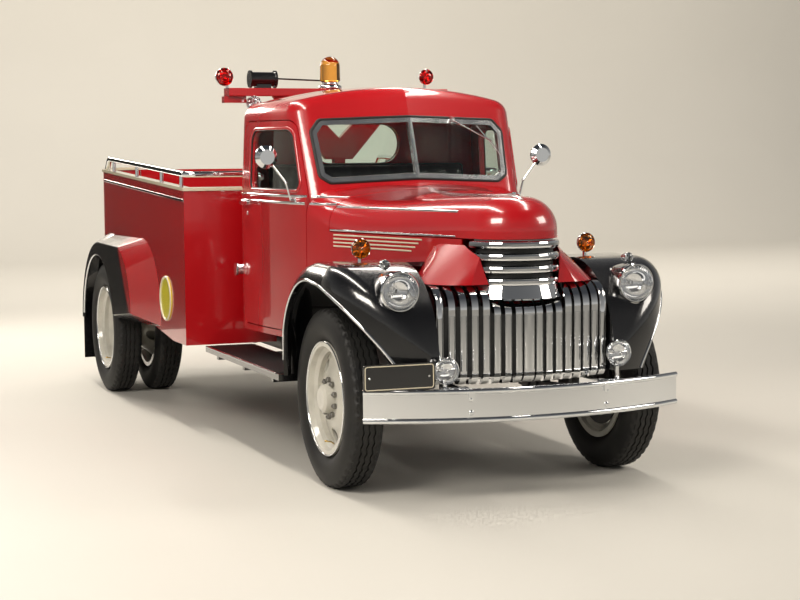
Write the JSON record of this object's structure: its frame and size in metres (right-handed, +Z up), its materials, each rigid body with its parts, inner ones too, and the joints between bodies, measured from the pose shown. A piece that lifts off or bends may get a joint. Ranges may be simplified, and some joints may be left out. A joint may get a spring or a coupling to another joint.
{
  "type": "fire engine",
  "caption": "Bonneted mid-century fire engine with a round cab, bright grilles, an open hose body with a rail, a lamp plank on a V post and paired rear tyres.",
  "frame": {"origin": "on the ground under the middle of the vehicle's length and width", "axes": "+X forward, +Y to the vehicle's left, +Z up"},
  "size_m": [5.7, 2.31, 2.28],
  "materials": {
    "red_paint": "gloss",
    "black_paint": "gloss",
    "chassis_paint": "satin",
    "chrome": "polished",
    "silver_paint": "gloss",
    "brass": "polished",
    "glass": "clear",
    "amber_glass": "clear",
    "tyre_rubber": "matte",
    "spring_steel": "satin",
    "engine_iron": "satin",
    "deck_wood": "satin",
    "seat_leather": "satin",
    "yellow_paint": "gloss",
    "black_plastic": "gloss"
  },
  "bodies": {
    "chassis": {"frame_rails": "chassis_paint", "front_axle": "chassis_paint", "rear_axle": "chassis_paint", "radiator": "chassis_paint", "exhaust": "chassis_paint", "leaf_springs": "spring_steel", "engine_block": "engine_iron", "cab_roof": "red_paint", "cab_front": "red_paint", "cab_back": "red_paint", "hood_sides": "red_paint", "body_front_wall": "red_paint", "body_rear_wall": "red_paint", "body_sides": "red_paint", "lamp_rack": "red_paint", "front_fenders": "black_paint", "rear_fenders": "black_paint", "running_boards": "black_paint", "tailboard": "black_paint", "cab_floor": "black_paint", "number_plate": "black_paint", "upper_grille": "chrome", "lower_grille": "chrome", "headlamp_rims": "chrome", "small_lamps": "chrome", "bumper": "chrome", "rack_lamps": "chrome", "windscreen_frame": "silver_paint", "body_rails": "brass", "cab_glass": "glass", "headlamp_lenses": "glass", "beacon": "amber_glass", "bed_floor": "deck_wood", "seat_cushion": "seat_leather", "seat_back": "seat_leather", "side_discs": "yellow_paint", "siren": "black_plastic", "steering_wheel": "black_plastic"},
    "hood": {"hood": "red_paint"},
    "door_right": {"door_right": "red_paint", "door_glass_right": "glass", "door_fittings_right": "chrome"},
    "door_left": {"door_left": "red_paint", "door_glass_left": "glass", "door_fittings_left": "chrome"},
    "tailgate": {"tailgate": "red_paint"},
    "knuckle_right": {"knuckle_right": "chassis_paint"},
    "knuckle_left": {"knuckle_left": "chassis_paint"},
    "tie_rod": {"tie_rod": "chassis_paint"},
    "wheel_front_right": {"tyre_front_right": "tyre_rubber", "wheel_front_right": "silver_paint"},
    "wheel_front_left": {"tyre_front_left": "tyre_rubber", "wheel_front_left": "silver_paint"},
    "wheels_rear_right": {"tyres_rear_right": "tyre_rubber", "wheels_rear_right": "silver_paint"},
    "wheels_rear_left": {"tyres_rear_left": "tyre_rubber", "wheels_rear_left": "silver_paint"}
  },
  "joints": [
    {"name": "hood_lift", "type": "hinge", "parent": "chassis", "child": "hood", "pos_m": [1.4025, 0, 1.496], "axis": [0, -1, 0], "range_deg": [0, 55]},
    {"name": "door_right_swing", "type": "hinge", "parent": "chassis", "child": "door_right", "pos_m": [1.193, -0.645, 1.2], "axis": [0, 0, 1], "range_deg": [0, 65]},
    {"name": "door_left_swing", "type": "hinge", "parent": "chassis", "child": "door_left", "pos_m": [1.193, 0.645, 1.2], "axis": [0, 0, -1], "range_deg": [0, 65]},
    {"name": "tailgate_drop", "type": "hinge", "parent": "chassis", "child": "tailgate", "pos_m": [-2.503, 0, 1.006], "axis": [0, -1, 0], "range_deg": [0, 90]},
    {"name": "steer_right", "type": "hinge", "parent": "chassis", "child": "knuckle_right", "pos_m": [2.05, -0.64, 0.4525], "axis": [0, 0, 1], "range_deg": [-28, 28]},
    {"name": "steer_left", "type": "hinge", "parent": "chassis", "child": "knuckle_left", "pos_m": [2.05, 0.64, 0.4525], "axis": [0, 0, 1], "range_deg": [-28, 28]},
    {"name": "tie_rod_eye", "type": "hinge", "parent": "knuckle_right", "child": "tie_rod", "pos_m": [1.86, -0.64, 0.352], "axis": [0, 0, 1], "range_deg": [-28, 28]},
    {"name": "roll_front_right", "type": "hinge", "parent": "knuckle_right", "child": "wheel_front_right", "pos_m": [2.05, -0.7615, 0.4525], "axis": [0, 1, 0], "continuous": true},
    {"name": "roll_front_left", "type": "hinge", "parent": "knuckle_left", "child": "wheel_front_left", "pos_m": [2.05, 0.7615, 0.4525], "axis": [0, 1, 0], "continuous": true},
    {"name": "roll_rear_right", "type": "hinge", "parent": "chassis", "child": "wheels_rear_right", "pos_m": [-2.014, -0.877, 0.4525], "axis": [0, 1, 0], "continuous": true},
    {"name": "roll_rear_left", "type": "hinge", "parent": "chassis", "child": "wheels_rear_left", "pos_m": [-2.014, 0.877, 0.4525], "axis": [0, 1, 0], "continuous": true}
  ],
  "couplings": [
    {"joint": "steer_left", "follows": "steer_right", "ratio": 1},
    {"joint": "tie_rod_eye", "follows": "steer_right", "ratio": -1}
  ]
}
